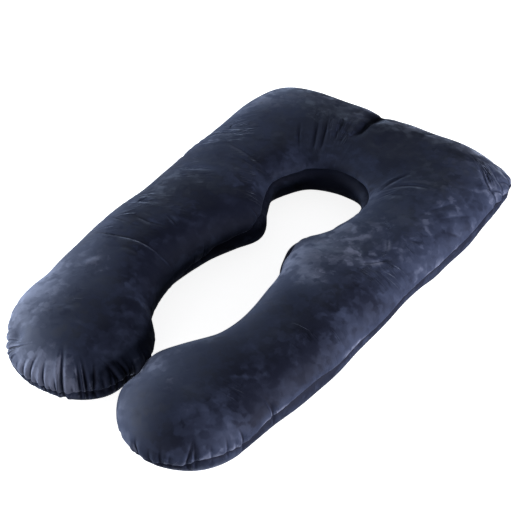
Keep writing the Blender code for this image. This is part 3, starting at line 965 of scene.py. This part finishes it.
def crease_values(places):
    """The lift of the creases, and each point's gap from the nearest one's line and the
    depth of that line. They end just below the seam."""
    below = np.maximum(0.0, WIDEST_HEIGHT - places[:, 2])
    fade = falloff(below, CREASE_BELOW_SEAM)
    lift, line_depth = np.zeros(len(places)), np.zeros(len(places))
    line_gap = np.full(len(places), CREASE_MARGIN)
    for crease in CREASES:
        gaps, depths = crease_gaps(places, crease)
        across = gaps / np.where(gaps > 0, crease.left, crease.right)
        lift += depths * fold_profile(across, crease.bulge)
        nearer = np.abs(gaps) < np.abs(line_gap)
        line_gap[nearer] = gaps[nearer]
        line_depth[nearer] = (crease.line * depths * falloff(gaps, CREASE_LINE_REACH))[nearer]
    return lift * fade, line_gap, line_depth * fade


def nearest_lines(cloth, gathers, line_gap, line_depth):
    """Each point's gap from the nearest line of a crease, a gather or the seam, and the
    depth of that line, from the gaps and depths of the creases."""
    seam = cloth.away - SEAM_LINE_PLACE, np.full(len(cloth.away), SEAM_LINE_DEPTH)
    for gap, depth in (gather_lines(cloth, gathers), seam):
        closer = np.abs(gap) < np.abs(line_gap)
        line_gap[closer], line_depth[closer] = gap[closer], depth[closer]
    return np.stack((line_gap, line_depth, np.zeros(len(line_gap))), axis=1)


def wrinkle_values(places):
    """Each point's place along and across the fine wrinkles, and their depth there."""
    along, across = places[:, 0].copy(), places[:, 1].copy()
    depth = np.zeros(len(places))
    for wrinkled in WRINKLED_PLACES:
        here = wrinkled.depth * nearness(places, wrinkled)
        if wrinkled.angle is None:
            from_neck = places[:, :2] - NECK_MIDDLE
            run = np.linalg.norm(from_neck, axis=1)
            aside = np.arctan2(from_neck[:, 1], from_neck[:, 0]) * NECK_RADIUS
        else:
            turn = math.radians(wrinkled.angle)
            run = places[:, 0] * math.cos(turn) + places[:, 1] * math.sin(turn)
            aside = places[:, 1] * math.cos(turn) - places[:, 0] * math.sin(turn)
        stronger = here > depth
        along[stronger], across[stronger] = run[stronger], aside[stronger]
        depth[stronger] = here[stronger]
    return np.stack((along, across, depth), axis=1)


def lumps_lift(places):
    """The slow rise and fall of the stuffing under the cloth."""
    draw = random.Random(LUMP_SEED)
    lift = np.zeros(len(places))
    for _ in range(LUMP_WAVES):
        way = Vector([draw.gauss(0, spread) for spread in LUMP_SPREAD]).normalized()
        length = draw.uniform(*LUMP_LENGTH)
        shift = draw.uniform(0, 2 * math.pi)
        lift += LUMP_HEIGHT * np.sin(places @ np.array(way) * 2 * math.pi / length + shift)
    return lift


def swells_lift(places):
    """The lift of the places where the stuffing stands proud or lies slack."""
    return sum(swell.rise * nearness(places, swell) for swell in SWELLS)


def seam_lift(cloth):
    """The stitches draw the cloth in along a sharp line, in a wide hollow where the seam
    is pulled in. The upper panel's edge is fuller than the lower one's."""
    groove = np.where(cloth.away > 0, SEAM_WIDTH_ABOVE, SEAM_WIDTH_BELOW)
    stitches = SEAM_DRAW * np.exp(-np.abs(cloth.away) / groove)
    width = np.where(cloth.away > 0, PULL_ABOVE, PULL_BELOW)
    above = np.maximum(cloth.away, 0.0) / EDGE_PLACE
    fullness = EDGE_FULLNESS * above * np.exp(1 - above)
    return fullness - stitches - cloth.pull * falloff(cloth.away, width)


def lip_drop(cloth):
    """The upper panel's edge hangs a little over the stitches."""
    return np.where(cloth.away > 0, LIP_DROP * falloff(cloth.away - LIP_PLACE, LIP_WIDTH), 0.0)


# ---- painted light and shade, and short light strokes
def paint_light_and_tones(places, cloth):
    """How light or dark the colour is painted at each point, by patches of painted light and
    shade and by short light strokes. It is darker on the lower panel, with painted shade under
    the seam, and has a painted highlight just above the seam."""
    # A painted highlight along the upper panel's edge above the seam; below it the darker lower
    # panel, with painted shade under the seam.
    above = cloth.tone * falloff(cloth.away, EDGE_HIGHLIGHT_REACH)
    below = LOWER_PANEL_TONE + UNDER_SEAM_PAINTED_SHADE * np.exp(-np.abs(cloth.away) / UNDER_SEAM_SHADE_REACH)
    tones = np.where(cloth.away > 0, above, below)
    # Patches of painted light and shade.
    for patch in PAINTED_LIGHT_AND_SHADE_PATCHES:
        tones += patch.tone * nearness(places, patch)
    # Short light strokes: brushed pile, and painted highlights along small folds.
    for stroke in STROKES:
        start, end = np.array((stroke.x1, stroke.y1)), np.array((stroke.x2, stroke.y2))
        share, away = beside_line(places, start, end)
        middle = 4 * share * (1 - share)
        aside = np.array((start[1] - end[1], end[0] - start[0])) / np.linalg.norm(end - start)
        gap = np.linalg.norm(away - (stroke.bow * middle)[:, None] * aside, axis=1)
        strength = (STROKE_END + (1 - STROKE_END) * middle) * (places[:, 2] > WIDEST_HEIGHT)
        tones += stroke.tone * strength * falloff(gap, stroke.width)
    return tones.astype(np.float32)


# ---- the whole pillow
def pinch_notch(mesh):
    """Draws the head's edge in at the notch."""
    edge = HEAD_START + HEAD_DEPTH["left"]
    for vert in mesh.verts:
        share = min(1.0, max(0.0, 1 - (edge - vert.co.y) / NOTCH_REACH))
        across = (vert.co.x - NOTCH_X) / NOTCH_WIDTH
        vert.co.y -= NOTCH_DEPTH * share**2 * math.exp(-(across**2))


def draw_out_corners(mesh):
    """Draws the head's corners out along the seam, which leaves them thinner there."""
    for vert in mesh.verts:
        for ear in CORNER_EARS:
            corner = Vector((ear.x, ear.y))
            near = math.exp(-((vert.co.xy - corner).length / ear.reach) ** 2)
            level = math.exp(-((vert.co.z - WIDEST_HEIGHT) / EAR_THICKNESS) ** 2)
            way = Vector((math.copysign(1.0, ear.x), 1.0)).normalized()
            vert.co.xy += way * ear.push * near * level


def add_object(name, data):
    """A new object in the scene."""
    thing = bpy.data.objects.new(name, data)
    bpy.context.scene.collection.objects.link(thing)
    return thing


def read_values(items, name, width, kind=np.float64):
    """One named value of each item, as an array with a row for each."""
    values = np.empty(len(items) * width, kind)
    items.foreach_get(name, values)
    return values.reshape(-1, width) if width > 1 else values


def shift_to_frame(places):
    """What brings the plain form's middle over the middle of the frame's solid."""
    low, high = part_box(NODE)
    middle = (low + high) / 2
    here = (places.min(axis=0) + places.max(axis=0)) / 2
    return np.array((middle.x - here[0], middle.y - here[1], 0.0))


def pillow_object():
    """The pillow with its folds, as one object at the origin."""
    rings = leg_sections("right") + head_sections() + leg_sections("left")[::-1]
    mesh = pillow_mesh(rings)
    pinch_notch(mesh)
    draw_out_corners(mesh)
    data = bpy.data.meshes.new("pillow_cover")
    mesh.to_mesh(data)
    mesh.free()
    rows = read_values(data.attributes["row"].data, "value", 1, np.int32)
    levels = read_values(data.attributes["level"].data, "value", 1, np.int32)
    cloth = measure_cloth(rings, rows, levels)
    places = read_values(data.vertices, "co", 3)
    normals = read_values(data.vertices, "normal", 3)
    on_floor = places[:, 2] < SAME_POINT
    shift = shift_to_frame(places)
    gathers = placed_gathers(cloth, len(rings))
    creases, line_gap, line_depth = crease_values(places)
    lines = nearest_lines(cloth, gathers, line_gap, line_depth)
    lift = sum(fold_lift(cloth, place, gather) for place, gather in gathers)
    lift += puckers_lift(cloth) + creases
    lift += lumps_lift(places) + swells_lift(places) + seam_lift(cloth)
    lift[on_floor] = 0.0
    tones = paint_light_and_tones(places, cloth)
    wrinkles = wrinkle_values(places)
    places += normals * lift[:, None]
    places[:, 2] -= lip_drop(cloth)
    places[:, 2] = np.maximum(places[:, 2], 0.0)
    places += shift
    data.vertices.foreach_set("co", places.ravel())
    data.shade_smooth()
    data.attributes.new("painted_light_and_tones", "FLOAT", "POINT").data.foreach_set("value", tones)
    for name, values in (("crease_line", lines), ("wrinkles", wrinkles)):
        layer = data.attributes.new(name, "FLOAT_VECTOR", "POINT")
        layer.data.foreach_set("vector", values.astype(np.float32).ravel())
    for name in ("row", "level"):
        data.attributes.remove(data.attributes[name])
    return add_object("pillow_cover", data)


# ---- plush
def add_node(tree, kind, inputs=(), **settings):
    """A node with its settings, its constant inputs by name and its links by socket."""
    node = tree.nodes.new(kind)
    for name, value in settings.items():
        setattr(node, name, value)
    for name, value in dict(inputs).items():
        if isinstance(value, bpy.types.NodeSocket):
            tree.links.new(value, node.inputs[name])
        else:
            node.inputs[name].default_value = value
    return node


def noise(tree, place, scale, detail=3.0, roughness=0.5, distortion=0.0, output="Fac"):
    """Noise whose patches are about 1 / scale metres across."""
    return add_node(tree, "ShaderNodeTexNoise", {
        "Vector": place, "Scale": scale, "Detail": detail, "Roughness": roughness,
        "Distortion": distortion,
    }).outputs[output]


def cover_value(tree, name, output="Vector"):
    """A value that the cover's points carry."""
    return add_node(tree, "ShaderNodeAttribute", attribute_name=name).outputs[output]


def split(tree, vector):
    """The X, Y and Z of a vector."""
    return add_node(tree, "ShaderNodeSeparateXYZ", {"Vector": vector}).outputs


def ramp(tree, value, limits):
    """0 below the lower limit, 1 above the higher, with soft ends."""
    inputs = {"Value": value, "From Min": limits[0], "From Max": limits[1]}
    node = add_node(tree, "ShaderNodeMapRange", inputs, interpolation_type="SMOOTHERSTEP")
    return node.outputs["Result"]


def math_node(tree, operation, *values):
    """What a math operation makes of its values."""
    inputs = dict(enumerate(values))
    return add_node(tree, "ShaderNodeMath", inputs, operation=operation).outputs["Value"]


def vector_math(tree, operation, *values):
    """What a vector operation makes of its values."""
    inputs = dict(enumerate(values))
    return add_node(tree, "ShaderNodeVectorMath", inputs, operation=operation).outputs["Vector"]


def mix_colour(tree, factor, first, second):
    """The first colour where the factor is 0, the second where it is 1."""
    inputs = {0: factor, 6: first, 7: second}
    return add_node(tree, "ShaderNodeMix", inputs, data_type="RGBA").outputs[2]


def new_material(name, values):
    """A material and its shader, which has these constant values."""
    material = bpy.data.materials.new(name)
    material.use_nodes = True
    shader = material.node_tree.nodes["Principled BSDF"]
    for key, value in values.items():
        shader.inputs[key].default_value = value
    return material, shader


def crushed_patches(tree, place, scale):
    """Patches about 1 / scale metres across with crumpled edges, each with its own three
    random values from 0 to 1."""
    crumple = noise(tree, place, scale * CRUMPLE_SCALE, detail=4.0, roughness=0.6, output="Color")
    reach = (CRUMPLE_REACH / scale,) * 3
    shifted = vector_math(tree, "MULTIPLY_ADD", crumple, reach, place)
    inputs = {"Vector": shifted, "Scale": scale, "Smoothness": 0.5}
    node = add_node(tree, "ShaderNodeTexVoronoi", inputs, feature="SMOOTH_F1")
    return node.outputs["Color"]


def bell(tree, across, middle):
    """1 at the middle, and almost 0 from two away on either side."""
    away = math_node(tree, "SUBTRACT", across, middle)
    square = math_node(tree, "MULTIPLY", away, away)
    return math_node(tree, "EXPONENT", math_node(tree, "MULTIPLY", square, -1.0))


def fold_heights(tree, place):
    """The height of the fine wrinkles and of the creases' sharp lines in metres, and the
    painted shade of each line as metres of its depth, less a painted highlight on its lip."""
    wrinkles = cover_value(tree, "wrinkles")
    drawn = vector_math(tree, "MULTIPLY", wrinkles, (*WRINKLES_PER_METRE, 0.0))
    wave = noise(tree, drawn, 1.0, detail=2.5, roughness=0.6, distortion=1.0)
    from_line = math_node(tree, "ABSOLUTE", math_node(tree, "SUBTRACT", wave, 0.5))
    spots = ramp(tree, noise(tree, place, WRINKLED_SPOTS), WRINKLED_LIMITS)
    depth = math_node(tree, "MULTIPLY", split(tree, wrinkles)["Z"], spots)
    fine = math_node(tree, "MULTIPLY", ramp(tree, from_line, (0.0, WRINKLE_WIDTH)), depth)
    line = split(tree, cover_value(tree, "crease_line"))
    across = math_node(tree, "MULTIPLY", line["X"], 1 / LINE_WIDTH)
    sunk = math_node(tree, "MULTIPLY", bell(tree, across, 0.0), line["Y"])
    lip = math_node(tree, "MULTIPLY", bell(tree, across, LIP_OFFSET), line["Y"])
    step = math_node(tree, "SUBTRACT", math_node(tree, "MULTIPLY", lip, LIP_SHARE), sunk)
    heights = math_node(tree, "ADD", fine, math_node(tree, "MULTIPLY", step, LINE_RELIEF))
    # A painted highlight on the lip beside each line.
    lip_highlight = math_node(tree, "MULTIPLY", lip, LIP_PAINTED_HIGHLIGHT)
    return heights, math_node(tree, "SUBTRACT", sunk, lip_highlight)


def plush_material():
    """Navy velvet plush: its pile is brushed to and fro, so it is mottled with light and
    dark patches that lean their own ways. It carries the cover's painted light and shade,
    painted shade along its lines with a painted highlight beside them, and is marked by short
    strokes and fine folds."""
    material, shader = new_material("navy_plush", PLUSH)
    tree = material.node_tree
    place = add_node(tree, "ShaderNodeTexCoord").outputs["Object"]
    # The tones that the cover's points carry: painted light and shade, and short light strokes.
    hand = cover_value(tree, "painted_light_and_tones", "Fac")
    heights, sunk = fold_heights(tree, place)
    broad = ramp(tree, noise(tree, place, BROAD_SCALE, detail=2.0, distortion=0.3), BROAD_LIMITS)
    average = BROAD_TONE / 2 + sum(mottle.tone for mottle in MOTTLES) / 2
    pile_and_painted_light = math_node(tree, "ADD", hand, NAP_LEVEL)
    pile_and_painted_light = math_node(tree, "ADD", pile_and_painted_light, math_node(tree, "MULTIPLY", broad, BROAD_TONE))
    # Painted shade along the lines of creases, gathers and the seam, less a painted highlight on
    # their lips.
    pile_and_painted_light = math_node(tree, "SUBTRACT", pile_and_painted_light, math_node(tree, "MULTIPLY", sunk, LINE_SHADE))
    pile_and_painted_light = math_node(tree, "SUBTRACT", pile_and_painted_light, average)
    surface = add_node(tree, "ShaderNodeNewGeometry").outputs["Normal"]
    for mottle in MOTTLES:
        patches = crushed_patches(tree, place, mottle.scale)
        tone = add_node(tree, "ShaderNodeSeparateColor", {"Color": patches}).outputs["Red"]
        pile_and_painted_light = math_node(tree, "ADD", pile_and_painted_light, math_node(tree, "MULTIPLY", tone, mottle.tone))
        lean = vector_math(tree, "SUBTRACT", patches, (0.5, 0.5, 0.5))
        surface = vector_math(tree, "MULTIPLY_ADD", lean, (mottle.lean,) * 3, surface)
    surface = vector_math(tree, "NORMALIZE", surface)
    colour = mix_colour(tree, ramp(tree, pile_and_painted_light, MIDDLE_NAP), NAVY_DEEP, NAVY_MIDDLE)
    colour = mix_colour(tree, ramp(tree, pile_and_painted_light, PALE_NAP), colour, NAVY_PALE)
    tree.links.new(colour, shader.inputs["Base Color"])
    pile = noise(tree, place, PILE_SCALE, detail=2.0)
    for height, strength, distance in ((heights, 1.0, 1.0), (pile, PILE_STRENGTH, PILE_HEIGHT)):
        surface = add_node(tree, "ShaderNodeBump", {
            "Height": height, "Strength": strength, "Distance": distance, "Normal": surface,
        }).outputs["Normal"]
    tree.links.new(surface, shader.inputs["Normal"])
    return material


# ---- floor, light, camera
def floor():
    """A plain pale floor under the pillow."""
    mesh = bmesh.new()
    bmesh.ops.create_grid(mesh, x_segments=1, y_segments=1, size=FLOOR_SIZE / 2)
    bmesh.ops.translate(mesh, verts=mesh.verts, vec=(0.0, 0.0, -FLOOR_GAP))
    data = bpy.data.meshes.new("floor")
    mesh.to_mesh(data)
    mesh.free()
    data.materials.append(new_material("pale_floor", FLOOR_PAINT)[0])
    piece = add_object("floor", data)
    piece.visible_diffuse = False
    piece.visible_glossy = False
    return piece


def aim(thing, place, target, roll=0.0):
    """Puts a lamp or camera at a place, looking at the target."""
    way = (Vector(target) - Vector(place)).normalized()
    turn = way.to_track_quat("-Z", "Y").to_matrix() @ Matrix.Rotation(roll, 3, "Z")
    thing.matrix_world = Matrix.Translation(place) @ turn.to_4x4()


def light_scene():
    """A dim sky that is darker below the horizon, and the lamps."""
    world = bpy.data.worlds.new("studio")
    world.use_nodes = True
    tree = world.node_tree
    way = add_node(tree, "ShaderNodeTexCoord").outputs["Generated"]
    above = ramp(tree, split(tree, way)["Z"], SKY_EDGE)
    colour = mix_colour(tree, above, UNDER_LIGHT, SKY_LIGHT)
    tree.links.new(colour, tree.nodes["Background"].inputs["Color"])
    bpy.context.scene.world = world
    for lamp in LAMPS:
        data = bpy.data.lights.new(lamp.name, "AREA")
        data.shape = "RECTANGLE"
        data.size, data.size_y = lamp.size
        data.energy, data.color = lamp.power, lamp.colour
        aim(add_object(lamp.name, data), lamp.place, lamp.aim)


def place_camera():
    """The camera that took the photograph, as fitted to the pillow's outline."""
    data = bpy.data.cameras.new("camera")
    data.lens, data.sensor_width, data.sensor_height = LENS, SENSOR, SENSOR
    azimuth, elevation = math.radians(CAMERA_AZIMUTH), math.radians(CAMERA_ELEVATION)
    back = Vector((
        math.sin(azimuth) * math.cos(elevation), -math.cos(azimuth) * math.cos(elevation),
        math.sin(elevation),
    ))
    place = Vector(CAMERA_TARGET) + back * CAMERA_DISTANCE
    camera = add_object("camera", data)
    aim(camera, place, CAMERA_TARGET, math.radians(CAMERA_ROLL))
    bpy.context.scene.camera = camera


pillow = pillow_object()
pillow.data.materials.append(plush_material())
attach(pillow, "root")
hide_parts(NODE)
floor()
light_scene()
place_camera()
bpy.context.scene.view_settings.view_transform = "Standard"
